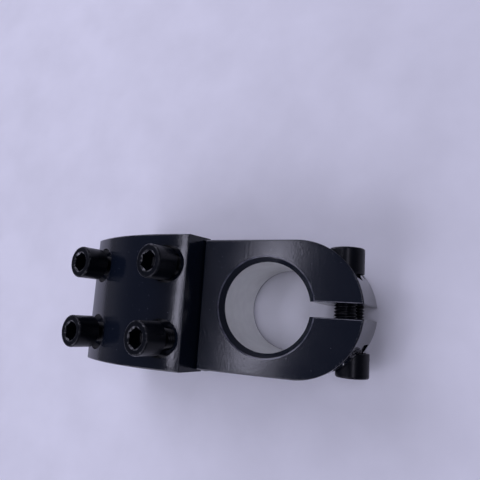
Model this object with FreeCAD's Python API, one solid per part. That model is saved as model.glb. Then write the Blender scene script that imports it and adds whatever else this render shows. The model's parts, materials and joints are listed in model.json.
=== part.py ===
import FreeCAD, Part
import math
import os
from FreeCAD import Placement, Rotation, Vector

# Top-load handlebar stem, in millimetres and degrees. +X points forwards, +Y to the rider's left and
# +Z up the steerer tube. The origin is on the steerer's axis, halfway up the steerer clamp.

# Where the bar sits
REACH = 44.5              # steerer axis to bar axis, forwards
RISE = 5.0                # middle of the steerer clamp to the bar axis, upwards
CAP_TILT = 15.0           # how far the bar clamp and its bolts lean forwards

# Steerer clamp
STEERER_R = 14.3          # 1 1/8 inch steerer tube
CLAMP_HEIGHT = 30.0
CLAMP_WALL = 6.95         # beside the steerer
REAR_ARC_BACK = 9.3       # how far behind the steerer's axis the round rear end is centred
BORE_CHAMFER = 1.6
SLOT_WIDTH = 4.6

# Bar clamp
BAR_R = 11.1              # 22.2 mm handlebar
SIDE_STEP = 0.75          # the bar clamp stands this far proud of the steerer clamp's sides
CAP_WALL = 5.0            # over the top of the bar
CAP_FLANGE = 9.75         # under the bolt heads
CAP_CROWN_R = 62.0        # curve of the cap's outside
SPLIT = 1.5               # gap between cap and lower jaw on a clamped bar
NECK_GAP = 0.8            # between the cap's rear face and the steerer clamp
JAW_NOSE_R = 8.0          # rounding under the front of the lower jaw
BAR_CHAMFER = 0.5
EDGE_R = 0.5              # rounding of the painted outer edges

# Bolts, six of one pattern
THREAD_R = 3.5            # M7
HEAD_R = 5.5
HEAD_HEIGHT = 8.0
HEAD_CHAMFER = 0.45
HEX_ACROSS = 6.0
HEX_DEPTH = 4.5
BOLT_LENGTH = 25.0        # under the head
TIP_CHAMFER = 0.8
HEAD_CLEARANCE = 0.75     # radial, between a head and its counterbore
SHANK_CLEARANCE = 0.3     # radial, where a bolt passes through freely
THREAD_CLEARANCE = 0.05   # radial, where a plain hole stands for the thread
HOLE_SPARE = 2.0          # a blind hole's depth beyond the bolt's tip

# Cap bolts
CAP_BOLTS_ACROSS = 24.0   # between bolt axes, along the bar
CAP_BOLT_WALL = 1.6       # between the bar and a bolt's hole
COUNTERBORE_WALL = 0.85   # between a counterbore and the cap's front or rear face
CAP_BOLTS = {             # forwards sign, leftwards sign, how far the head stands off its seat
    "cap_bolt_front_left": (1, 1, 6.1),
    "cap_bolt_front_right": (1, -1, 5.5),
    "cap_bolt_rear_left": (-1, 1, 5.4),
    "cap_bolt_rear_right": (-1, -1, 3.3),
}

# Pinch bolts, which cross the slot from opposite sides
PINCH_WALL = 5.6          # between the steerer and a bolt's hole
PINCH_SPACING = 14.5      # between the two bolts, up the clamp
PINCH_SEAT = 10.0         # middle of the clamp to a bolt's seat
PINCH_BOLTS = {           # upwards sign, leftwards sign, how far the head stands off its seat
    "pinch_bolt_upper": (1, -1, 1.5),
    "pinch_bolt_lower": (-1, 1, 2.9),
}

# Worked out from the sizes above
HALF_HEIGHT = CLAMP_HEIGHT / 2
HALF_WIDTH = STEERER_R + CLAMP_WALL
HALF_BAR_CLAMP = HALF_WIDTH + SIDE_STEP
REAR_END = REAR_ARC_BACK + HALF_WIDTH
HOLE_R = THREAD_R + SHANK_CLEARANCE
COUNTERBORE_R = HEAD_R + HEAD_CLEARANCE
CAP_BOLT_OFFSET = BAR_R + CAP_BOLT_WALL + HOLE_R
BAR_CLAMP_HALF = CAP_BOLT_OFFSET + COUNTERBORE_R + COUNTERBORE_WALL
CAP_TOP = BAR_R + CAP_WALL
CAP_SEAT = SPLIT / 2 + CAP_FLANGE
NECK_FACE = BAR_CLAMP_HALF + NECK_GAP
PINCH_BACK = STEERER_R + PINCH_WALL + HOLE_R
SPARE = 60.0              # how far cutting tools run past what they cut

BAR_FRAME = Placement(Vector(REACH, 0, RISE), Rotation(Vector(0, 1, 0), CAP_TILT))


def in_bar_frame(shape):
    """Take a shape drawn about the bar's axis, split plane level, to its tilted place."""
    placed = shape.copy()
    placed.Placement = BAR_FRAME.multiply(placed.Placement)
    return placed


def bar_point(forwards, upwards):
    """A point of the stem's side view, given in the bar clamp's own directions."""
    return BAR_FRAME.multVec(Vector(forwards, 0, upwards))


def foot_point(forwards):
    """Where the bar clamp's own upright at that distance reaches the underside."""
    tilt = math.radians(CAP_TILT)
    upwards = (-HALF_HEIGHT - RISE + forwards * math.sin(tilt)) / math.cos(tilt)
    return bar_point(forwards, upwards)


def rod(radius, start, direction, length):
    return Part.makeCylinder(radius, length, start, direction)


def side_prism(points, half_width):
    """Extrude a side view both ways from the middle plane."""
    wire = Part.makePolygon(points + points[:1])
    face = Part.Face(wire)
    face.translate(Vector(0, -half_width, 0))
    return face.extrude(Vector(0, 2 * half_width, 0))


def edges_where(shape, test):
    """The edges whose every sampled point passes the test."""
    found = []
    for edge in shape.Edges:
        if all(test(point) for point in edge.discretize(5)):
            found.append(edge)
    return found


def steerer_block():
    """The upright block around the steerer, round at the rear."""
    rear = Part.makeCylinder(HALF_WIDTH, CLAMP_HEIGHT, Vector(-REAR_ARC_BACK, 0, -HALF_HEIGHT))
    sides = Part.makeBox(REACH + REAR_ARC_BACK, 2 * HALF_WIDTH, CLAMP_HEIGHT,
                         Vector(-REAR_ARC_BACK, -HALF_WIDTH, -HALF_HEIGHT))
    outline = rear.fuse(sides)
    neck_slope = math.tan(math.radians(CAP_TILT)) * CLAMP_HEIGHT
    foot = foot_point(-NECK_FACE)
    top = foot + Vector(neck_slope, 0, CLAMP_HEIGHT)
    rear_x = -REAR_END - SPARE
    side = [Vector(rear_x, 0, -HALF_HEIGHT), foot, top, Vector(rear_x, 0, HALF_HEIGHT)]
    return outline.common(side_prism(side, HALF_WIDTH)).removeSplitter()


def lower_jaw():
    """The block under the bar, from the split plane down to the flat underside."""
    points = [
        bar_point(-NECK_FACE, -SPLIT / 2),
        bar_point(BAR_CLAMP_HALF, -SPLIT / 2),
        foot_point(BAR_CLAMP_HALF),
        foot_point(-NECK_FACE),
    ]
    block = side_prism(points, HALF_BAR_CLAMP)
    nose_x = foot_point(BAR_CLAMP_HALF).x
    nose = edges_where(block, lambda p: abs(p.x - nose_x) < 0.01 and abs(p.z + HALF_HEIGHT) < 0.01)
    return block.makeFillet(JAW_NOSE_R, nose)


def on_body_outline(point):
    """True on the outer corners of the body: its top, its underside and its two sides."""
    level = abs(abs(point.z) - HALF_HEIGHT) < 0.01
    on_side = abs(abs(point.y) - HALF_BAR_CLAMP) < 0.01
    return (level and point.x < foot_point(-NECK_FACE).x) or on_side


def chamfered_bore(radius, chamfer, length):
    """A cutting tool along +Z for a bore of that length, widened at both ends."""
    tool = rod(radius, Vector(0, 0, -length / 2 - SPARE), Vector(0, 0, 1), length + 2 * SPARE)
    for sign in (1, -1):
        mouth = Vector(0, 0, sign * length / 2)
        flare = Part.makeCone(radius + chamfer, radius, chamfer, mouth, Vector(0, 0, -sign))
        tool = tool.fuse(flare)
    return tool


def steerer_bore():
    return chamfered_bore(STEERER_R, BORE_CHAMFER, CLAMP_HEIGHT)


def bar_bore():
    tool = chamfered_bore(BAR_R, BAR_CHAMFER, 2 * HALF_BAR_CLAMP)
    tool.rotate(Vector(0, 0, 0), Vector(1, 0, 0), 90)
    return in_bar_frame(tool)


def pinch_slot():
    return Part.makeBox(REAR_END + SPARE, SLOT_WIDTH, CLAMP_HEIGHT + 2 * SPARE,
                        Vector(-REAR_END - SPARE, -SLOT_WIDTH / 2, -HALF_HEIGHT - SPARE))


def cap_bolt_line(forwards_sign, left_sign, height):
    """A point on a cap bolt's axis and the axis direction, in the bar clamp's directions."""
    start = Vector(forwards_sign * CAP_BOLT_OFFSET, left_sign * CAP_BOLTS_ACROSS / 2, height)
    return start, Vector(0, 0, 1)


def cap_bolt_thread_hole(forwards_sign, left_sign):
    """From the split plane down past the seated bolt's tip."""
    depth = BOLT_LENGTH - CAP_SEAT + HOLE_SPARE
    start, up = cap_bolt_line(forwards_sign, left_sign, -depth)
    return in_bar_frame(rod(THREAD_R + THREAD_CLEARANCE, start, up, depth + SPLIT))


def pinch_bolt_line(up_sign, left_sign, distance):
    """A point on a pinch bolt's axis and the direction from its tip to its head."""
    point = Vector(-PINCH_BACK, left_sign * distance, up_sign * PINCH_SPACING / 2)
    return point, Vector(0, left_sign, 0)


def pinch_bolt_cuts(up_sign, left_sign):
    """The spot face, the clearance hole up to the slot and the thread hole beyond it."""
    seat, outwards = pinch_bolt_line(up_sign, left_sign, PINCH_SEAT)
    middle, outwards = pinch_bolt_line(up_sign, left_sign, 0)
    spot_face = rod(COUNTERBORE_R, seat, outwards, SPARE)
    passage = rod(HOLE_R, middle, outwards, PINCH_SEAT + 1)
    thread = rod(THREAD_R + THREAD_CLEARANCE, middle, -outwards, SPARE)
    return [spot_face, passage, thread]


def stem_body():
    body = steerer_block().fuse(lower_jaw()).removeSplitter()
    body = body.makeFillet(EDGE_R, edges_where(body, on_body_outline))
    cuts = [steerer_bore(), bar_bore(), pinch_slot()]
    for forwards_sign, left_sign, _ in CAP_BOLTS.values():
        cuts.append(cap_bolt_thread_hole(forwards_sign, left_sign))
    for up_sign, left_sign, _ in PINCH_BOLTS.values():
        cuts.extend(pinch_bolt_cuts(up_sign, left_sign))
    return body.cut(cuts)


def bar_cap():
    """The upper half of the bar clamp, with a crowned top and four counterbores."""
    block = Part.makeBox(2 * BAR_CLAMP_HALF, 2 * HALF_BAR_CLAMP, CAP_TOP,
                         Vector(-BAR_CLAMP_HALF, -HALF_BAR_CLAMP, SPLIT / 2))
    crown = rod(CAP_CROWN_R, Vector(0, -SPARE, CAP_TOP - CAP_CROWN_R), Vector(0, 1, 0), 2 * SPARE)
    cap = block.common(crown)
    cap = cap.makeFillet(EDGE_R, edges_where(cap, lambda p: p.z > SPLIT / 2 + 0.01))
    cap = in_bar_frame(cap)
    cuts = [bar_bore()]
    for forwards_sign, left_sign, _ in CAP_BOLTS.values():
        seat, up = cap_bolt_line(forwards_sign, left_sign, CAP_SEAT)
        cuts.append(in_bar_frame(rod(COUNTERBORE_R, seat, up, SPARE)))
        cuts.append(in_bar_frame(rod(HOLE_R, seat - up * SPARE, up, SPARE + 1)))
    return cap.cut(cuts)


def hex_socket():
    """A hexagonal pit with a drilled cone at the bottom, its mouth at the origin facing +Z."""
    corner_r = HEX_ACROSS / math.sqrt(3)
    corners = []
    for step in range(7):
        angle = math.radians(30 + 60 * step)
        corners.append(Vector(corner_r * math.cos(angle), corner_r * math.sin(angle), 0))
    pit = Part.Face(Part.makePolygon(corners)).extrude(Vector(0, 0, -HEX_DEPTH))
    drill_r = HEX_ACROSS / 2
    point = Part.makeCone(drill_r, 0, drill_r / 2, Vector(0, 0, -HEX_DEPTH), Vector(0, 0, -1))
    lead_in = Part.makeCone(corner_r + 0.1, corner_r - 0.4, 0.5, Vector(0, 0, 0), Vector(0, 0, -1))
    return pit.fuse([point, lead_in]).removeSplitter()


def bolt():
    """A socket-head bolt along +Z with the underside of its head at the origin."""
    head = rod(HEAD_R, Vector(0, 0, 0), Vector(0, 0, 1), HEAD_HEIGHT)
    rim = edges_where(head, lambda p: abs(p.z - HEAD_HEIGHT) < 0.01)
    head = head.makeChamfer(HEAD_CHAMFER, rim)
    socket = hex_socket()
    socket.translate(Vector(0, 0, HEAD_HEIGHT))
    shank = rod(THREAD_R, Vector(0, 0, 0), Vector(0, 0, -1), BOLT_LENGTH)
    tip = edges_where(shank, lambda p: abs(p.z + BOLT_LENGTH) < 0.01)
    shank = shank.makeChamfer(TIP_CHAMFER, tip)
    return head.cut(socket).fuse(shank)


def placed_bolt(seat, outwards, proud):
    """A bolt whose head stands off its seat by that much."""
    placed = bolt()
    turn = Rotation(Vector(0, 0, 1), outwards)
    placed.Placement = Placement(seat + outwards * proud, turn)
    return placed


def all_parts():
    parts = {"stem_body": stem_body(), "bar_cap": bar_cap()}
    for name, (forwards_sign, left_sign, proud) in CAP_BOLTS.items():
        seat, up = cap_bolt_line(forwards_sign, left_sign, CAP_SEAT)
        parts[name] = in_bar_frame(placed_bolt(seat, up, proud))
    for name, (up_sign, left_sign, proud) in PINCH_BOLTS.items():
        seat, outwards = pinch_bolt_line(up_sign, left_sign, PINCH_SEAT)
        parts[name] = placed_bolt(seat, outwards, proud)
    return parts


os.makedirs("parts", exist_ok=True)
for node, shape in all_parts().items():
    shape.exportStep(f"parts/{node}.step")
    print(node, len(shape.Solids), "solid", shape.isValid(), round(shape.Volume), "mm3")
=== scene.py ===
# %% [markdown]
# # A top-load handlebar stem
#
# A stem joins a bicycle's handlebar to its steerer tube. This one is two blocks of aluminium, powder
# coated black, and six socket-head bolts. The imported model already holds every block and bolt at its
# real size and place, so this lesson is about finish: smooth shading, rolled threads, hexagon sockets,
# the leathery skin of powder coat and the bare metal of a reamed bore.

# %% Load the frame
import json
import math

import bmesh
import bpy
from mathutils import Matrix, Vector


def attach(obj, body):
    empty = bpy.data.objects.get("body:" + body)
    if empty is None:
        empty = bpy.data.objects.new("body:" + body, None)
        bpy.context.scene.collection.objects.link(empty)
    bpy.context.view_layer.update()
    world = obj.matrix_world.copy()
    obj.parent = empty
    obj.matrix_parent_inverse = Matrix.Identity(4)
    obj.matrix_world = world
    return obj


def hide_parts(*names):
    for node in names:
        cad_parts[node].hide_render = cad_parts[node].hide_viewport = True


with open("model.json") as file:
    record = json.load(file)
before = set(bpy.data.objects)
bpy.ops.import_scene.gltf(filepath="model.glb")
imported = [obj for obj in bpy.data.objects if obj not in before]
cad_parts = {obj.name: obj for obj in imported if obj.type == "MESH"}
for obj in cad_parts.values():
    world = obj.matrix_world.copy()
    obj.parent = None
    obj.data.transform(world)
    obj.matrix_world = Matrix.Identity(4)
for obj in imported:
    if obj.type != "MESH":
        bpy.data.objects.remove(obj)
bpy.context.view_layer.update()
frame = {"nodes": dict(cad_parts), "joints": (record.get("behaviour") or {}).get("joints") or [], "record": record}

joints = {joint["child"]: joint for joint in frame["joints"]}
mounts = {mount["name"]: mount for mount in frame["record"]["mounts"]}
print("pieces in the frame:", sorted(frame["nodes"]))

# %% [markdown]
# ## Colours are shown as they are
#
# A view transform bends every colour on its way to the picture. Film-like ones suit landscapes. A black
# part on a pale table is easier to judge with the plain one, where a value in a shader is the value seen.

# %% A plain view transform
bpy.context.scene.view_settings.view_transform = "Standard"
print("view transform:", bpy.context.scene.view_settings.view_transform)


def srgb(red, green, blue):
    """A colour given on a 0 to 255 scale, as the linear light that shaders work in."""
    linear = []
    for part in (red, green, blue):
        level = part / 255
        linear.append(level / 12.92 if level < 0.04045 else ((level + 0.055) / 1.055) ** 2.4)
    return (*linear, 1.0)


# %% [markdown]
# ## The camera
#
# The stem is looked at from above and a little behind the steerer clamp, down into the bore. A camera can
# be turned by three angles, by a constraint that tracks an object, or by the directions it looks and
# holds up. The last is used here: two directions say at once where the lens points and how it is rolled.

# %% Place the camera
MM = 0.001
CAMERA_AT = Vector((-51.4, 4.1, 157.0)) * MM
LOOKS_ALONG = Vector((0.390, -0.161, -0.907)).normalized()
HOLDS_UP = Vector((-0.004, -0.985, 0.173))
SENSOR_MM = 36.0
LENS_MM = 36.0


def look_matrix(place, forward, up_hint):
    """The matrix of a camera or lamp at a place, pointing its -Z forward."""
    right = forward.cross(up_hint).normalized()
    up = right.cross(forward)
    turn = Matrix((right, up, -forward)).transposed()
    return Matrix.Translation(place) @ turn.to_4x4()


camera_data = bpy.data.cameras.new("camera")
camera_data.sensor_width = SENSOR_MM
camera_data.lens = LENS_MM
camera_data.clip_start = 10 * MM
camera = bpy.data.objects.new("camera", camera_data)
camera.matrix_world = look_matrix(CAMERA_AT, LOOKS_ALONG, HOLDS_UP)
bpy.context.scene.collection.objects.link(camera)
bpy.context.scene.camera = camera
print("camera", round(CAMERA_AT.length / MM), "mm from the steerer clamp's middle")

# %% [markdown]
# ## Small helpers for node trees
#
# A node tree built in code is a list of nodes and a list of links. One helper adds a node and sets its
# properties and inputs by name, and the others each add one kind of node that is used often and return
# its answer, so that a formula in code reads much like the formula on paper.

# %% Node helpers


def add_node(tree, kind, inputs=None, **settings):
    """A node of that kind. An input is given a plain value, or an output socket to link from."""
    node = tree.nodes.new(kind)
    for name, value in settings.items():
        setattr(node, name, value)
    for key, value in (inputs or {}).items():
        if isinstance(value, bpy.types.NodeSocket):
            tree.links.new(value, node.inputs[key])
        else:
            node.inputs[key].default_value = value
    return node


def maths(tree, operation, *values, clamp=False):
    """The result of one Math node."""
    node = add_node(tree, "ShaderNodeMath", dict(enumerate(values)), operation=operation)
    node.use_clamp = clamp
    return node.outputs[0]


def remap(tree, value, from_range=(0.0, 1.0), to_range=(0.0, 1.0), blend="LINEAR"):
    """A value moved from one range to another, and held inside it."""
    node = add_node(tree, "ShaderNodeMapRange", {
        "Value": value, "From Min": from_range[0], "From Max": from_range[1],
        "To Min": to_range[0], "To Max": to_range[1]}, interpolation_type=blend)
    return node.outputs["Result"]


def mixed(tree, share, first, second):
    """The first colour, turning into the second as the share goes from 0 to 1."""
    node = add_node(tree, "ShaderNodeMix", {
        "Factor": share, "A": first, "B": second}, data_type="RGBA")
    return node.outputs["Result"]


def object_place(tree):
    """Where a point is in its own object, in metres."""
    return add_node(tree, "ShaderNodeTexCoord").outputs["Object"]


def noise(tree, place, scale, detail, roughness=0.5):
    """Smooth noise, from 0 to 1."""
    node = add_node(tree, "ShaderNodeTexNoise", {
        "Vector": place, "Scale": scale, "Detail": detail, "Roughness": roughness})
    return node.outputs["Fac"]


# %% [markdown]
# ## Effects that several finishes share
#
# Wear, dust and an uneven skin turn up on more than one material. Their nodes could be copied into each,
# but then a change has to be made in every copy. A node group is built once, and each material places it
# with its own numbers. Every group here has named inputs and gives one number for each point.

# %% Group helpers


def new_group(name, inputs, output):
    """An empty shader group. Its inputs are (name, default), and its one output is a number."""
    group = bpy.data.node_groups.new(name, "ShaderNodeTree")
    for label, default in inputs:
        socket = group.interface.new_socket(label, in_out="INPUT", socket_type="NodeSocketFloat")
        socket.default_value = default
    group.interface.new_socket(output, in_out="OUTPUT", socket_type="NodeSocketFloat")
    return group, group.nodes.new("NodeGroupInput").outputs, group.nodes.new("NodeGroupOutput").inputs


def use_group(tree, group, inputs):
    """The answer of a group that is placed in a tree with its own numbers."""
    return add_node(tree, "ShaderNodeGroup", inputs, node_tree=group).outputs[0]


# %% [markdown]
# ## The skin of powder coat
#
# Powder coat is sprayed on as dry dust and melted in an oven. It never flows quite flat: the skin keeps
# a fine orange peel, which shows wherever a lamp is mirrored in it. The peel could be real displaced
# geometry, but its hills are a few hundredths of a millimetre high at most, so a bump is the honest size
# for it. Two layers of noise are added: short wrinkles, and a slower swell that bends long reflections.

# %% Orange peel group
SWELL_TO_WRINKLE = 0.3

peel, given, answer = new_group(
    "orange_peel", [("Wrinkle Scale", 900.0), ("Swell Share", 0.5)], "Height")
place = object_place(peel)
wrinkles = noise(peel, place, given["Wrinkle Scale"], 2.0, 0.6)
swell_scale = maths(peel, "MULTIPLY", given["Wrinkle Scale"], SWELL_TO_WRINKLE)
swell = noise(peel, place, swell_scale, 1.0)
swell_part = maths(peel, "MULTIPLY", swell, given["Swell Share"])
peel.links.new(maths(peel, "ADD", wrinkles, swell_part), answer["Height"])
print(peel.name, "has", len(peel.nodes), "nodes")

# %% [markdown]
# ## Dust
#
# A part that has been handled carries a few pale specks and a breath of haze, mostly on faces that look
# up. The group gives one mask for both. Specks are the centres of a Voronoi pattern, of which each cell's
# own random colour keeps only some, and the height of the surface normal limits them to upward faces.

# %% Dust group
SPECK_RADIUS = 0.11
LEFT_OUT = 0.86
HAZE_SCALE = 60.0
HAZE_SHARE = 0.06

dust, given, answer = new_group("dust", [("Speck Scale", 420.0), ("Amount", 0.5)], "Mask")
place = object_place(dust)
cells = add_node(dust, "ShaderNodeTexVoronoi", {"Vector": place, "Scale": given["Speck Scale"]})
speck = maths(dust, "LESS_THAN", cells.outputs["Distance"], SPECK_RADIUS)
drawn = add_node(dust, "ShaderNodeSeparateColor", {"Color": cells.outputs["Color"]})
kept = maths(dust, "GREATER_THAN", drawn.outputs["Red"], LEFT_OUT)
specks = maths(dust, "MULTIPLY", speck, kept)
haze = maths(dust, "MULTIPLY", noise(dust, place, HAZE_SCALE, 4.0), HAZE_SHARE)
normal = add_node(dust, "ShaderNodeNewGeometry").outputs["Normal"]
facing = add_node(dust, "ShaderNodeSeparateXYZ", {"Vector": normal})
upward = maths(dust, "MULTIPLY", facing.outputs["Z"], 1.0, clamp=True)
masked = maths(dust, "MULTIPLY", maths(dust, "MAXIMUM", specks, haze), upward)
dust.links.new(maths(dust, "MULTIPLY", masked, given["Amount"]), answer["Mask"])
print(dust.name, "has", len(dust.nodes), "nodes")

# %% [markdown]
# ## Edge wear and painted highlight
#
# Both finishes are thinnest on corners, and corners are what gets rubbed, so they turn pale first. On the
# powder coat the pale line is also a painted highlight: it stands for the thin line of light that the
# paint's rounded lip catches. The meshes made below carry a value called wear, 1 on the middle of a
# rounded corner and 0 on the flats. The group breaks that value up with noise, so that the pale line is
# never quite even.

# %% Edge wear and painted highlight group
wear_and_highlight_group, given, answer = new_group(
    "edge_wear_and_highlight", [("Noise Scale", 900.0), ("From", 0.3), ("To", 0.7), ("Amount", 0.5)], "Mask")
corner = add_node(wear_and_highlight_group, "ShaderNodeAttribute", attribute_name="wear").outputs["Fac"]
grit = noise(wear_and_highlight_group, object_place(wear_and_highlight_group), given["Noise Scale"], 4.0)
rubbed = maths(wear_and_highlight_group, "MULTIPLY", corner, grit)
mask = remap(wear_and_highlight_group, rubbed, from_range=(given["From"], given["To"]))
wear_and_highlight_group.links.new(maths(wear_and_highlight_group, "MULTIPLY", mask, given["Amount"]), answer["Mask"])
print(wear_and_highlight_group.name, "has", len(wear_and_highlight_group.nodes), "nodes")

# %% [markdown]
# ## Black powder coat
#
# The coat is a thick, glossy plastic film, so it is a dielectric: nearly no colour of its own, a mirror
# that is weak face on and strong at a low angle. That is why an upright face of a black part turns pale
# where it mirrors a white table. A metallic black would lose that. Slow patches of noise make the gloss
# a little uneven, as it is after an oven.

# %% Black powder coat
COAT_BLACK = srgb(8, 15, 27)
DUST_GREY = srgb(150, 150, 160)
# Pale grey for the coat's rounded corners: rubbed thin, and a painted highlight line for the light that the
# paint's round lip catches.
WORN_AND_HIGHLIT_EDGE = srgb(120, 120, 132)
COAT_DUST = {"Speck Scale": 900.0, "Amount": 0.25}
# The mask that turns the coat's corners pale, as wear and as a painted highlight.
COAT_WEAR_AND_HIGHLIGHT = {"Noise Scale": 500.0, "From": 0.2, "To": 0.65, "Amount": 0.45}
COAT_PEEL = {"Wrinkle Scale": 1400.0, "Swell Share": 0.2}
PEEL_HEIGHT = 0.022 * MM
COAT_ROUGHNESS = (0.1, 0.16)
PATCH_SCALE = 90.0


def new_material(name):
    """A material with its nodes cleared down to one Principled shader and the output."""
    material = bpy.data.materials.new(name)
    material.use_nodes = True
    tree = material.node_tree
    tree.nodes.clear()
    shader = tree.nodes.new("ShaderNodeBsdfPrincipled")
    output = tree.nodes.new("ShaderNodeOutputMaterial")
    tree.links.new(shader.outputs["BSDF"], output.inputs["Surface"])
    return material, tree, shader


def bump(tree, shader, height, distance):
    """Tilt the shader's normal by a height from 0 to 1 that stands for that distance."""
    node = add_node(tree, "ShaderNodeBump", {"Height": height, "Distance": distance})
    tree.links.new(node.outputs["Normal"], shader.inputs["Normal"])


def powder_coat():
    """Glossy black with dust, orange peel, and corners turned pale grey, as wear and as a painted highlight line.
    """
    material, tree, shader = new_material("black_powder_coat")
    dusty = mixed(tree, use_group(tree, dust, COAT_DUST), COAT_BLACK, DUST_GREY)
    # Corners turn pale grey, as wear and as a painted highlight line.
    worn_and_highlit = mixed(tree, use_group(tree, wear_and_highlight_group, COAT_WEAR_AND_HIGHLIGHT), dusty, WORN_AND_HIGHLIT_EDGE)
    tree.links.new(worn_and_highlit, shader.inputs["Base Color"])
    patches = noise(tree, object_place(tree), PATCH_SCALE, 3.0)
    tree.links.new(remap(tree, patches, to_range=COAT_ROUGHNESS), shader.inputs["Roughness"])
    bump(tree, shader, use_group(tree, peel, COAT_PEEL), PEEL_HEIGHT)
    return material


coat = powder_coat()
print("made", coat.name)

# %% [markdown]
# ## Bare aluminium
#
# The two bores are machined after coating, or masked during it, so that the tube and the bar are gripped
# by metal and not by paint. A boring tool leaves rings a few hundredths of a millimetre apart. The rings
# are drawn along the bore's own axis, from the distance along that axis, and broken up by noise. Near
# each end of a bore the paint laps over the metal in a slightly ragged border. At the lower end that
# band of coat black is also painted shade, standing for the shadow under the bore's mouth. It is a mask
# in the same shader, because no edge of the mesh runs there.

# %% Bare aluminium
ALUMINIUM = srgb(231, 232, 227)
RING_SCALE = 9000.0
CLOUD_SCALE = 260.0
CLOUD_TONE = (0.25, 0.87)
METAL_ROUGHNESS = (0.34, 0.5)
RING_HEIGHT = 0.01 * MM
RAGGED_BY = 0.2 * MM
STEERER_BARE_TO = 13.15 * MM
BAR_BARE_TO = 21.4 * MM


def bored_metal(name, axis, bare_to):
    """Bare aluminium with tool rings across that axis, and coat black past that distance: paint over the metal,
    and at the lower end painted shade.
    """
    material, tree, shader = new_material(name)
    place = object_place(tree)
    dot = add_node(tree, "ShaderNodeVectorMath", {0: place, 1: axis}, operation="DOT_PRODUCT")
    along = dot.outputs["Value"]
    rings = add_node(tree, "ShaderNodeTexNoise", {
        "W": along, "Scale": RING_SCALE, "Detail": 3.0}, noise_dimensions="1D")
    cloud = noise(tree, place, CLOUD_SCALE, 4.0)
    tone = maths(tree, "MULTIPLY_ADD", cloud, *CLOUD_TONE)
    metal = add_node(tree, "ShaderNodeVectorMath", {
        0: ALUMINIUM[:3], "Scale": tone}, operation="SCALE")
    # Coat black past the ragged border: paint over the metal, and at the lower end painted shade under the mouth.
    border = maths(tree, "MULTIPLY_ADD", cloud, RAGGED_BY, maths(tree, "ABSOLUTE", along))
    painted = maths(tree, "GREATER_THAN", border, bare_to)
    lapped_and_shaded = mixed(tree, painted, metal.outputs["Vector"], COAT_BLACK)
    tree.links.new(lapped_and_shaded, shader.inputs["Base Color"])
    tree.links.new(maths(tree, "SUBTRACT", 1.0, painted), shader.inputs["Metallic"])
    tree.links.new(remap(tree, cloud, to_range=METAL_ROUGHNESS), shader.inputs["Roughness"])
    bump(tree, shader, maths(tree, "ADD", rings.outputs["Fac"], cloud), RING_HEIGHT)
    return material


steerer_metal = bored_metal("bare_steerer_bore", (0.0, 0.0, 1.0), STEERER_BARE_TO)
bar_metal = bored_metal("bare_bar_bore", (0.0, 1.0, 0.0), BAR_BARE_TO)
print("made", steerer_metal.name, "and", bar_metal.name)

# %% [markdown]
# ## Blackened steel
#
# The bolts are blackened in hot oil, which darkens the steel without covering it. Corners rub bare first:
# the rim of the head, the mouth of the socket where the key turns, and the crests of the thread. The edge
# wear group finds them, and its mask turns both the colour and the Metallic value from black to steel.

# %% Blackened steel
BLACKENED = srgb(3, 6, 13)
STEEL = srgb(150, 150, 152)
BOLT_DUST = {"Speck Scale": 1200.0, "Amount": 0.15}
BOLT_WEAR = {"Noise Scale": 900.0, "From": 0.42, "To": 0.7, "Amount": 0.7}
BOLT_ROUGHNESS = (0.22, 0.38)
MOTTLE_SCALE = 900.0
MOTTLE_HEIGHT = 0.01 * MM


def blackened_steel():
    """Dull black that is rubbed to steel on its corners."""
    material, tree, shader = new_material("blackened_steel")
    shader.inputs["Specular IOR Level"].default_value = 0.16
    bare = use_group(tree, wear_and_highlight_group, BOLT_WEAR)
    dusty = mixed(tree, use_group(tree, dust, BOLT_DUST), BLACKENED, DUST_GREY)
    tree.links.new(mixed(tree, bare, dusty, STEEL), shader.inputs["Base Color"])
    tree.links.new(bare, shader.inputs["Metallic"])
    mottle = noise(tree, object_place(tree), MOTTLE_SCALE, 5.0)
    tree.links.new(remap(tree, mottle, to_range=BOLT_ROUGHNESS), shader.inputs["Roughness"])
    bump(tree, shader, mottle, MOTTLE_HEIGHT)
    return material


bolt_steel = blackened_steel()
print("made", bolt_steel.name)

# %% [markdown]
# ## The two blocks
#
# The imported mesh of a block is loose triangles, and its cut edges are as sharp as a drawing. Paint can't
# follow a sharp edge: it pulls back into a small round, which catches a thin line of light. A copy has
# its doubled points merged and its flat triangles joined into whole faces. Then the mouths of the
# steerer bore and the slot, which show most, are rounded by the thickness of the coat. A bevel on bare
# triangles would tear, which is why the flat faces are joined first. The cap's counterbores stay sharp.
# Normals weighted by area keep the flats flat right up to their rounded edges.

# %% Round the mouths
SHARP_ANGLE = math.radians(28)
LEVEL_WITHIN = 0.02 * MM
HALF_CLAMP = -mounts["under_face"]["pos_m"][2]
BORE_MOUTH = 16.5 * MM
SLOT_NEAR = 2.6 * MM
MOUTH_ROUND = 0.38 * MM
ROUND_SEGMENTS = 4


def on_clamp_level(point):
    """True at the height of the clamp's top or underside, near the bore or the slot."""
    level = abs(abs(point.z) - HALF_CLAMP) < LEVEL_WITHIN
    return level and (Vector((point.x, point.y)).length < BORE_MOUTH or abs(point.y) < SLOT_NEAR)


def round_mouths(shape):
    """Round the sharp edges of those mouths, and return the new faces."""
    edges = []
    for edge in shape.edges:
        if edge.calc_face_angle(0) > SHARP_ANGLE and all(on_clamp_level(v.co) for v in edge.verts):
            edges.append(edge)
    made = bmesh.ops.bevel(shape, geom=edges, offset=MOUTH_ROUND, segments=ROUND_SEGMENTS, profile=0.5,
                           affect="EDGES", clamp_overlap=False, loop_slide=True)
    print(len(edges), "edges rounded")
    return set(made["faces"])


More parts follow.
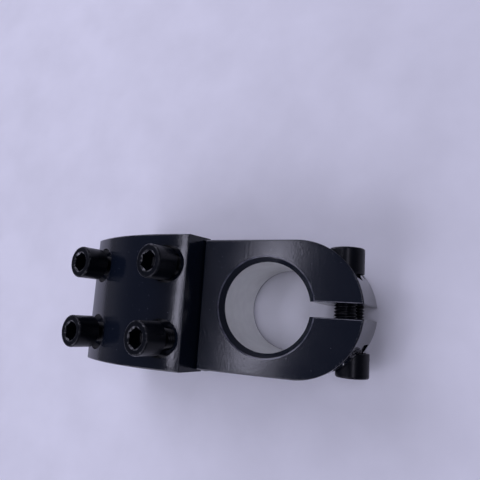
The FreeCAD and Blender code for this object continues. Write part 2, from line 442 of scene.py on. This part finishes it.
# %% [markdown]
# ## Marking the wear and the painted highlight
#
# The edge wear and highlight group needs to know where the corners are. A pointiness node finds them only
# in one render engine, and it is lost in an export. A number stored on each point of the mesh goes
# wherever the mesh goes. The new rounds get the full mark, and corners that were round already get less.
# On the blocks the mark turns corners pale, as wear and as a painted highlight line.

# %% Mark the wear and the painted highlight
ROUND_STEP = math.radians(12)
NARROW_FACE = 15 * MM * MM
# Old rounds are marked less, and turn pale on the coat as wear and as a painted highlight.
OLD_ROUND_WEAR_AND_HIGHLIGHT = 0.6


def on_old_round(face):
    """True on the narrow faces of a corner that was round already."""
    narrow = face.calc_area() < NARROW_FACE
    return narrow and any(ROUND_STEP < edge.calc_face_angle(0) < SHARP_ANGLE for edge in face.edges)


def mark_wear_and_highlight(shape, rounds):
    """Write 1 on the middle of every new round, and less inside the corners that were round already: pale wear and
    painted highlight on the coat.
    """
    wear = shape.verts.layers.float.new("wear")
    for vertex in shape.verts:
        if all(face in rounds for face in vertex.link_faces):
            vertex[wear] = 1.0
        elif all(on_old_round(face) for face in vertex.link_faces):
            vertex[wear] = OLD_ROUND_WEAR_AND_HIGHLIGHT


# %% [markdown]
# ## Softening a copy
#
# Only the copy is changed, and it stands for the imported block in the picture. The bevel works on the mesh
# itself, so that its new faces can be marked. The weighting of normals stays a live modifier, because it
# moves no point.

# %% Soften a copy
MERGE_WITHIN = 1e-7
FLAT_WITHIN = math.radians(0.3)


def softened_copy(node, has_mouths):
    """A merged copy of a packed block, its corners marked for pale wear and painted highlight, and its mouths
    rounded if it has any.
    """
    shape = bmesh.new()
    shape.from_mesh(frame["nodes"][node].data)
    bmesh.ops.remove_doubles(shape, verts=shape.verts, dist=MERGE_WITHIN)
    bmesh.ops.dissolve_limit(shape, angle_limit=FLAT_WITHIN, verts=shape.verts, edges=shape.edges)
    rounds = round_mouths(shape) if has_mouths else set()
    mark_wear_and_highlight(shape, rounds)
    for edge in shape.edges:
        if edge.calc_face_angle(0) > SHARP_ANGLE:
            edge.smooth = False
    loose = sum(1 for edge in shape.edges if not edge.is_manifold)
    mesh = bpy.data.meshes.new(node + "_coated")
    shape.to_mesh(mesh)
    shape.free()
    piece = bpy.data.objects.new(mesh.name, mesh)
    bpy.context.scene.collection.objects.link(piece)
    weigh = piece.modifiers.new("weigh normals", "WEIGHTED_NORMAL")
    weigh.keep_sharp = True
    print(piece.name, len(mesh.polygons), "faces,", loose, "open edges")
    return piece


body = softened_copy("stem_body", True)
cap = softened_copy("bar_cap", False)

# %% [markdown]
# ## Where the metal is bare
#
# One block carries two finishes. They could be mixed in one shader by a mask, but here the border is an
# edge of the mesh, so faces are given to a second material. A face is bare when it lies on a bore: all
# its corners are at the bore's radius from the bore's axis.

# %% Give the bores bare metal
RADIUS_SLACK = 0.06 * MM


def on_bore(points, mount):
    """True when every point is at that mount's radius from its axis."""
    centre = Vector(mount["pos_m"])
    axis = Vector(mount["axis"])
    radius = mount["dims"]["r_mm"] * MM
    return all(abs((point - centre).cross(axis).length - radius) < RADIUS_SLACK for point in points)


def finish_block(piece, bores):
    """Coat the piece and bare its bores, given as (mount, material)."""
    mesh = piece.data
    mesh.materials.clear()
    mesh.materials.append(coat)
    for mount, metal in bores:
        mesh.materials.append(metal)
        for face in mesh.polygons:
            corners = [mesh.vertices[index].co for index in face.vertices]
            if on_bore(corners, mount):
                face.material_index = len(mesh.materials) - 1
    bare = sum(1 for face in mesh.polygons if face.material_index)
    print(piece.name, bare, "bare faces")


finish_block(body, [(mounts["steerer_clamp"], steerer_metal), (mounts["bar_clamp"], bar_metal)])
finish_block(cap, [(mounts["bar_clamp"], bar_metal)])
for piece, node in ((body, "stem_body"), (cap, "bar_cap")):
    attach(piece, node)
    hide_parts(node)

# %% [markdown]
# ## Measuring a bolt
#
# All six bolts are one pattern, so one is measured and made, and the rest are copies. A bolt's joint gives
# the direction of its axis. Along that axis and across it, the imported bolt's own points give its length,
# its head and its middle.

# %% Measure the bolts
BOLTS = [node for node in frame["nodes"] if "bolt" in node]
HEAD_HEIGHT = 8.0 * MM
THREAD_R = 3.5 * MM
PITCH = 1.0 * MM
THREAD_DEPTH = 0.58 * MM
HEX_ACROSS = 6.0 * MM
HEX_DEPTH = 4.5 * MM
INSIDE_BOX = 0.02 * MM


def span(node, direction):
    """The lowest and highest place of a node's points along a direction."""
    reach = [vertex.co.dot(direction) for vertex in frame["nodes"][node].data.vertices]
    return min(reach), max(reach)


def bolt_axes(node):
    """Outwards along the bolt, and two directions across it."""
    outwards = Vector(joints[node]["axis"]).normalized()
    side = Vector((0, 1, 0)) if abs(outwards.y) < 0.5 else Vector((0, 0, 1))
    return outwards, side, outwards.cross(side)


def head_top(node):
    """The middle of the flat top of a bolt's head."""
    outwards, side, other = bolt_axes(node)
    top = outwards * span(node, outwards)[1]
    for across in (side, other):
        low, high = span(node, across)
        top += across * (low + high) / 2
    return top


sample = BOLTS[0]
low, high = span(sample, bolt_axes(sample)[1])
HEAD_R = (high - low) / 2 - INSIDE_BOX
low, high = span(sample, bolt_axes(sample)[0])
SHANK_LENGTH = high - low - HEAD_HEIGHT
print("head", round(2 * HEAD_R / MM, 2), "mm across, shank", round(SHANK_LENGTH / MM, 2), "mm long")

# %% [markdown]
# ## A rolled thread from a rule
#
# A thread is one ridge wound round a rod, rising one pitch each turn. It could be swept along a helix, but
# the start and end of a sweep are hard to blend. Here a plain open tube is made, and each of its points
# is moved in or out by a rule: take the height in pitches, take away the share of a turn, and keep what
# is after the decimal point. That number is the same all along the ridge. A triangle of it, with its
# top and bottom cut flat, is the thread's profile, and two more rules narrow the tip and the neck.

# %% The ridge of the thread
AROUND = 72
ROWS_PER_PITCH = 10
CREST = 0.82
ROOT = 0.2
NECK = 0.9 * MM
TIP_R = 2.7 * MM


def ridge_at(tree, given, where, height):
    """0 at the thread's root and 1 on its crest, for a point on the rod."""
    turns = maths(tree, "ARCTAN2", where.outputs["Y"], where.outputs["X"])
    share = maths(tree, "DIVIDE", turns, math.tau)
    climb = maths(tree, "SUBTRACT", maths(tree, "DIVIDE", height, given["Pitch"]), share)
    saw = maths(tree, "MULTIPLY_ADD", maths(tree, "FRACT", climb), 2.0, -1.0)
    triangle = maths(tree, "SUBTRACT", 1.0, maths(tree, "ABSOLUTE", saw))
    return remap(tree, triangle, from_range=(ROOT, CREST))


def radius_at(tree, given, ridge, height):
    """The rod's radius at a point, with the ridge growing from the neck and cut down at the tip."""
    root = maths(tree, "SUBTRACT", given["Radius"], given["Depth"])
    from_neck = maths(tree, "SUBTRACT", maths(tree, "MULTIPLY", height, -1.0), given["Neck"])
    grown = maths(tree, "DIVIDE", from_neck, given["Pitch"], clamp=True)
    raised = maths(tree, "MULTIPLY", maths(tree, "MULTIPLY", ridge, grown), given["Depth"])
    from_tip = maths(tree, "ADD", height, given["Length"])
    tip_cone = maths(tree, "ADD", given["Tip Radius"], from_tip)
    return maths(tree, "MINIMUM", maths(tree, "ADD", root, raised), tip_cone)


# %% [markdown]
# ## The tree's inputs and its tube
#
# A tree's sizes are its named inputs, so that another bolt needs other numbers and no other tree. The
# tube starts one metre in radius, which makes its X and Y a plain direction: multiplied by the rule's
# radius, they put the point in its place. The height of the ridge is kept as the wear of the crests.

# %% The thread tree
CREST_WEAR = 0.8


def thread_inputs(tree):
    """Add the named sizes and the material, and return their sockets."""
    sizes = [("Radius", THREAD_R), ("Pitch", PITCH), ("Depth", THREAD_DEPTH),
             ("Length", SHANK_LENGTH), ("Tip Radius", TIP_R), ("Neck", NECK)]
    for label, default in sizes:
        socket = tree.interface.new_socket(label, in_out="INPUT", socket_type="NodeSocketFloat")
        socket.default_value = default
    tree.interface.new_socket("Steel", in_out="INPUT", socket_type="NodeSocketMaterial")
    return tree.nodes.new("NodeGroupInput").outputs


def thread_tree():
    """A Geometry Nodes tree that makes a threaded rod from the origin downwards."""
    tree = bpy.data.node_groups.new("rolled_thread", "GeometryNodeTree")
    given = thread_inputs(tree)
    tree.interface.new_socket("Mesh", in_out="OUTPUT", socket_type="NodeSocketGeometry")
    result = tree.nodes.new("NodeGroupOutput")
    pitches = maths(tree, "DIVIDE", given["Length"], given["Pitch"])
    tube = add_node(tree, "GeometryNodeMeshCylinder", {
        "Vertices": AROUND, "Side Segments": maths(tree, "MULTIPLY", pitches, ROWS_PER_PITCH),
        "Radius": 1.0, "Depth": given["Length"]}, fill_type="NONE")
    position = add_node(tree, "GeometryNodeInputPosition").outputs[0]
    where = add_node(tree, "ShaderNodeSeparateXYZ", {"Vector": position})
    half = maths(tree, "DIVIDE", given["Length"], 2.0)
    height = maths(tree, "SUBTRACT", where.outputs["Z"], half)
    ridge = ridge_at(tree, given, where, height)
    radius = radius_at(tree, given, ridge, height)
    place = add_node(tree, "ShaderNodeCombineXYZ", {
        "X": maths(tree, "MULTIPLY", where.outputs["X"], radius),
        "Y": maths(tree, "MULTIPLY", where.outputs["Y"], radius), "Z": height})
    moved = add_node(tree, "GeometryNodeSetPosition", {
        "Geometry": tube.outputs["Mesh"], "Position": place.outputs["Vector"]})
    marked = add_node(tree, "GeometryNodeStoreNamedAttribute", {
        "Geometry": moved.outputs["Geometry"], "Name": "wear",
        "Value": maths(tree, "MULTIPLY", ridge, CREST_WEAR)}, data_type="FLOAT", domain="POINT")
    real = add_node(tree, "GeometryNodeRealizeInstances", {"Geometry": marked.outputs["Geometry"]})
    blackened = add_node(tree, "GeometryNodeSetMaterial", {
        "Geometry": real.outputs["Geometry"], "Material": given["Steel"]})
    tree.links.new(blackened.outputs["Geometry"], result.inputs["Mesh"])
    return tree


# %% [markdown]
# ## From the tree to a mesh
#
# A modifier on an empty mesh runs the tree. The material is given to the modifier by its socket's
# identifier, before anything is worked out. The result is copied into a plain mesh, and the modifier and
# its carrier are thrown away, so that nothing is left to recompute.

# %% The threaded shank

def threaded_shank():
    """The tree's result as a plain mesh."""
    carrier = bpy.data.objects.new("shank", bpy.data.meshes.new("shank"))
    bpy.context.scene.collection.objects.link(carrier)
    modifier = carrier.modifiers.new("rolled thread", "NODES")
    modifier.node_group = thread_tree()
    for item in modifier.node_group.interface.items_tree:
        if item.in_out == "INPUT" and item.name == "Steel":
            modifier[item.identifier] = bolt_steel
    bpy.context.view_layer.update()
    seen = carrier.evaluated_get(bpy.context.evaluated_depsgraph_get())
    mesh = bpy.data.meshes.new_from_object(seen)
    carrier.modifiers.clear()
    bpy.data.objects.remove(carrier)
    return mesh


shank_mesh = threaded_shank()
print("thread", len(shank_mesh.polygons), "faces")

# %% [markdown]
# ## The head and its hexagon socket
#
# The head is turned, and the socket is punched. Cutting a hexagon with a Boolean works, but leaves long
# thin faces. Instead the head is a stack of rings with equal numbers of points. A ring's radius may
# depend on the angle, so the same stack that makes round rings also makes hexagonal ones. The key's
# lead-in is a cone, which meets the corners higher than the flats, and that gives the scalloped mouth.

# %% The rings of the head
HEAD_CHAMFER = 0.6 * MM
EDGE_BAND = 1.6 * HEAD_CHAMFER
UNDER_ROUND = 0.2 * MM
SEAT_FILM = 0.02 * MM
CORNER_STEPS = 4
MOUTH_R = 3.62 * MM
MOUTH_BAND = 0.25 * MM
MOUTH_SLOPE = 0.7
LIP = 0.3 * MM


def hexagon_radius(angle):
    """How far a hexagon's edge is from its middle in that direction."""
    from_flat = (angle % (math.pi / 3)) - math.pi / 6
    return HEX_ACROSS / 2 / math.cos(from_flat)


def lead_in(angle):
    """The height at which the key's cone meets the hexagon in that direction."""
    return HEAD_HEIGHT - (MOUTH_R - hexagon_radius(angle)) * MOUTH_SLOPE


def below_lip(angle):
    """A little under the cone, where the rubbed lip ends."""
    return lead_in(angle) - LIP


def head_rings():
    """Rings from the neck out, over the head and down the socket: (radius, height, wear)."""
    rings = [
        (THREAD_R - THREAD_DEPTH, 0.0, 0.0),
        (HEAD_R - UNDER_ROUND, SEAT_FILM, 0.2),
        (HEAD_R, UNDER_ROUND, 0.5),
        (HEAD_R, 2 * UNDER_ROUND, 0.1),
        (HEAD_R, HEAD_HEIGHT - EDGE_BAND, 0.1)]
    for step in range(CORNER_STEPS + 1):
        turn = math.radians(90) * step / CORNER_STEPS
        radius = HEAD_R - HEAD_CHAMFER * (1 - math.cos(turn))
        rings.append((radius, HEAD_HEIGHT - HEAD_CHAMFER * (1 - math.sin(turn)), 0.75))
    rings += [
        (HEAD_R - EDGE_BAND, HEAD_HEIGHT, 0.1),
        (MOUTH_R + MOUTH_BAND, HEAD_HEIGHT, 0.1),
        (MOUTH_R, HEAD_HEIGHT, 0.9),
        (hexagon_radius, lead_in, 1.0),
        (hexagon_radius, below_lip, 0.5),
        (hexagon_radius, HEAD_HEIGHT - HEX_DEPTH, 0.0)]
    return rings


print(len(head_rings()), "rings in a head")

# %% [markdown]
# ## Joining head and shank
#
# Rings of equal numbers of points are joined by plain four-sided faces. The first ring of the head has
# the same points as the top row of the shank, so merging doubles makes them one skin. The last steps
# close the tip of the thread and turn every face outwards.

# %% One bolt
SOCKET_CONE = 1.3 * MM
WELD_WITHIN = 0.005 * MM


def at(rule, angle):
    """The value of a rule, which is a number or a function of the angle."""
    return rule(angle) if callable(rule) else rule


def bolt_mesh():
    """Head and shank as one closed mesh, the underside of the head at the origin."""
    shape = bmesh.new()
    shape.from_mesh(shank_mesh)
    wear_layer = shape.verts.layers.float["wear"]
    previous = None
    for radius, height, wear in head_rings():
        ring = []
        for step in range(AROUND):
            angle = math.tau * step / AROUND
            reach = at(radius, angle)
            vertex = shape.verts.new((reach * math.cos(angle), reach * math.sin(angle), at(height, angle)))
            vertex[wear_layer] = wear
            ring.append(vertex)
        for step in range(AROUND if previous else 0):
            after = (step + 1) % AROUND
            shape.faces.new((previous[step], previous[after], ring[after], ring[step]))
        previous = ring
    bottom = shape.verts.new((0, 0, HEAD_HEIGHT - HEX_DEPTH - SOCKET_CONE))
    for step in range(AROUND):
        shape.faces.new((previous[step], previous[(step + 1) % AROUND], bottom))
    bmesh.ops.remove_doubles(shape, verts=shape.verts, dist=WELD_WITHIN)
    open_edges = [edge for edge in shape.edges if edge.is_boundary]
    bmesh.ops.holes_fill(shape, edges=open_edges, sides=0)
    bmesh.ops.recalc_face_normals(shape, faces=shape.faces)
    mesh = bpy.data.meshes.new("bolt")
    shape.to_mesh(mesh)
    print("bolt", len(mesh.polygons), "faces, open edges", sum(e.is_boundary for e in shape.edges))
    shape.free()
    mesh.materials.append(bolt_steel)
    mesh.shade_smooth()
    mesh.set_sharp_from_angle(angle=SHARP_ANGLE)
    return mesh


one_bolt = bolt_mesh()

# %% [markdown]
# ## Six bolts in their holes
#
# No fitter lines up the hexagons, so each bolt also has a small turn of its own about its axis.

# %% Place the bolts
OWN_TURN = {
    "cap_bolt_front_left": 8, "cap_bolt_front_right": -4, "cap_bolt_rear_left": 3,
    "cap_bolt_rear_right": -7, "pinch_bolt_upper": 12, "pinch_bolt_lower": 21}

for node in BOLTS:
    outwards, side, other = bolt_axes(node)
    turn = Matrix((side, outwards.cross(side), outwards)).transposed().to_4x4()
    own_turn = Matrix.Rotation(math.radians(OWN_TURN[node]), 4, "Z")
    seat = head_top(node) - outwards * HEAD_HEIGHT
    mesh = one_bolt.copy()
    mesh.transform(Matrix.Translation(seat) @ turn @ own_turn)
    piece = bpy.data.objects.new(node + "_turned", mesh)
    bpy.context.scene.collection.objects.link(piece)
    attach(piece, node)
    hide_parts(node)
bpy.data.meshes.remove(one_bolt)
print(len(BOLTS), "bolts placed")

# %% [markdown]
# ## The table
#
# The stem stands on its own flat underside, on a pale matt board. The board is only a stage, and never
# becomes part of the object. Slow, faint noise keeps it from looking like paper.

# %% The table
TABLE_SIZE = 5.0
TABLE_PALE = (0.79, 0.79, 0.85)
SMUDGE_SCALE = 45.0
SMUDGE_TONE = (0.95, 1.03)
TABLE_ROUGHNESS = 0.6
table_z = mounts["under_face"]["pos_m"][2]
shape = bmesh.new()
bmesh.ops.create_grid(shape, x_segments=8, y_segments=8, size=TABLE_SIZE / 2)
bmesh.ops.translate(shape, verts=shape.verts, vec=(0, 0, table_z))
table_mesh = bpy.data.meshes.new("table")
shape.to_mesh(table_mesh)
shape.free()
table = bpy.data.objects.new("table", table_mesh)
bpy.context.scene.collection.objects.link(table)

board, tree, shader = new_material("pale_board")
smudge = noise(tree, object_place(tree), SMUDGE_SCALE, 3.0)
tone = remap(tree, smudge, from_range=(0.3, 0.7), to_range=SMUDGE_TONE)
colour = add_node(tree, "ShaderNodeVectorMath", {0: TABLE_PALE, "Scale": tone}, operation="SCALE")
tree.links.new(colour.outputs["Vector"], shader.inputs["Base Color"])
shader.inputs["Roughness"].default_value = TABLE_ROUGHNESS
table_mesh.materials.append(board)
print("table", TABLE_SIZE, "m wide, at", round(table_z / MM, 2), "mm")

# %% [markdown]
# ## Light
#
# Black gloss is drawn by what it mirrors. Two wide, weak panels in front, one to each side, brighten the
# table but lie outside what the top faces mirror. Two narrow strips overhead are there to be mirrored.
# The one towards the front shows in the flat top of the clamp, and the one towards the back shows in the
# rear slope of the cap. Their soft shapes on the orange peel are what shows the finish. A lamp could be
# given in watts, but how bright it looks in a mirror depends on its size as well, so each is given by
# the brightness of its face.

# %% Lamps
LIGHT_COLOUR = (0.80, 0.79, 1.0)


def panel(name, direction, distance, width, length, radiance, along=(0, 1, 0)):
    """A flat lamp facing the origin, given by how bright its face is and which way its width runs."""
    lamp = bpy.data.lights.new(name, "AREA")
    lamp.shape = "RECTANGLE"
    lamp.size = width
    lamp.size_y = length
    lamp.color = LIGHT_COLOUR
    lamp.energy = radiance * math.pi * width * length
    holder = bpy.data.objects.new(name, lamp)
    outwards = Vector(direction).normalized()
    holder.matrix_world = look_matrix(outwards * distance, -outwards, outwards.cross(Vector(along)))
    bpy.context.scene.collection.objects.link(holder)


panel("strip_front", (0.36, -0.035, 1.0), 1.0, 0.36, 0.065, 8.0, along=(0.21, 0.98, 0))
panel("strip_rear", (-0.33, -0.04, 1.0), 1.0, 0.70, 0.10, 9.0)
panel("front_left", (0.60, 0.82, 0.75), 1.2, 1.05, 0.92, 2.5)
panel("front_right", (0.60, -0.82, 0.75), 1.2, 1.05, 0.92, 2.4)
print("lamps:", sorted(lamp.name for lamp in bpy.data.lights))

# %% [markdown]
# ## The sky
#
# The world fills what the lamps leave dark. It could be one flat grey, but in a room the walls are
# lighter than the dark ceiling above the lamps. So a rule makes it brightest at the horizon, where
# upright faces mirror it, and dims it overhead, where the flat tops would turn grey.

# %% Sky
SKY_STRENGTH = (0.25, 0.08)
SKY_EVEN_FROM = 0.55
sky = bpy.data.worlds.new("sky")
sky.use_nodes = True
tree = sky.node_tree
direction = add_node(tree, "ShaderNodeTexCoord").outputs["Generated"]
upwards = add_node(tree, "ShaderNodeSeparateXYZ", {"Vector": direction}).outputs["Z"]
glow = remap(tree, upwards, (0.0, SKY_EVEN_FROM), SKY_STRENGTH, "SMOOTHSTEP")
background = tree.nodes["Background"]
background.inputs["Color"].default_value = (*LIGHT_COLOUR, 1.0)
tree.links.new(glow, background.inputs["Strength"])
bpy.context.scene.world = sky
print("sky strength", SKY_STRENGTH[0], "at the horizon,", SKY_STRENGTH[1], "overhead")
